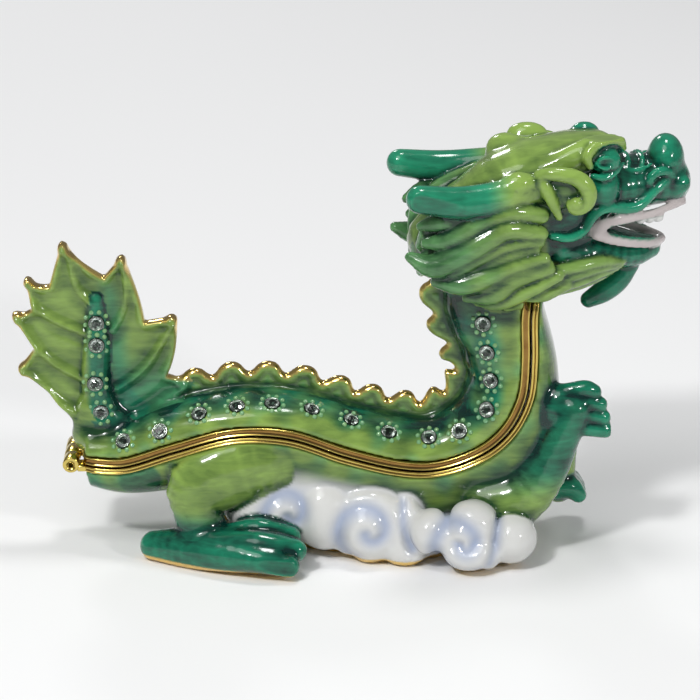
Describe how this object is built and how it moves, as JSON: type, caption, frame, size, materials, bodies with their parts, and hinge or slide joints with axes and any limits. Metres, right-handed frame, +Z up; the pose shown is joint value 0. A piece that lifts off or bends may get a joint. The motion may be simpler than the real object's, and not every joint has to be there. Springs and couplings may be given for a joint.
{
  "type": "jewelled trinket box",
  "caption": "Enamelled metal trinket box in the form of a dragon on clouds, with gold rims, a tail hinge and crystals along its back.",
  "frame": {"origin": "on the flat underside of the clouds, below the middle of the body", "axes": "+X the way the dragon faces, +Z up, +Y to its left"},
  "size_m": [0.1121, 0.039, 0.0719],
  "materials": {
    "green_enamel": "high gloss translucent green enamel over cast metal, yellow-green to teal",
    "base_enamel": "high gloss green enamel with pearly white clouds over cast metal",
    "gold_rim": "polished gold plate",
    "crystal": "clear faceted crystal"
  },
  "bodies": {
    "base_body": {"base": "base_enamel", "base_rim": "gold_rim", "hinge_pin": "gold_rim"},
    "lid_body": {"lid": "green_enamel", "lid_rim": "gold_rim", "stone_right_01": "crystal", "stone_right_02": "crystal", "stone_right_03": "crystal", "stone_right_04": "crystal", "stone_right_05": "crystal", "stone_right_06": "crystal", "stone_right_07": "crystal", "stone_right_08": "crystal", "stone_right_09": "crystal", "stone_right_10": "crystal", "stone_right_11": "crystal", "stone_right_12": "crystal", "stone_right_13": "crystal", "stone_right_14": "crystal", "stone_right_15": "crystal", "stone_right_16": "crystal", "stone_right_17": "crystal", "stone_right_18": "crystal", "stone_left_01": "crystal", "stone_left_02": "crystal", "stone_left_03": "crystal", "stone_left_04": "crystal", "stone_left_05": "crystal", "stone_left_06": "crystal", "stone_left_07": "crystal", "stone_left_08": "crystal", "stone_left_09": "crystal", "stone_left_10": "crystal", "stone_left_11": "crystal", "stone_left_12": "crystal", "stone_left_13": "crystal", "stone_left_14": "crystal", "stone_left_15": "crystal", "stone_left_16": "crystal", "stone_left_17": "crystal", "stone_left_18": "crystal"}
  },
  "joints": [
    {"name": "lid_hinge", "type": "hinge", "parent": "base_body", "child": "lid_body", "pos_m": [-0.0475, 0, 0.0153], "axis": [0, -1, 0], "range_deg": [0, 60]}
  ]
}
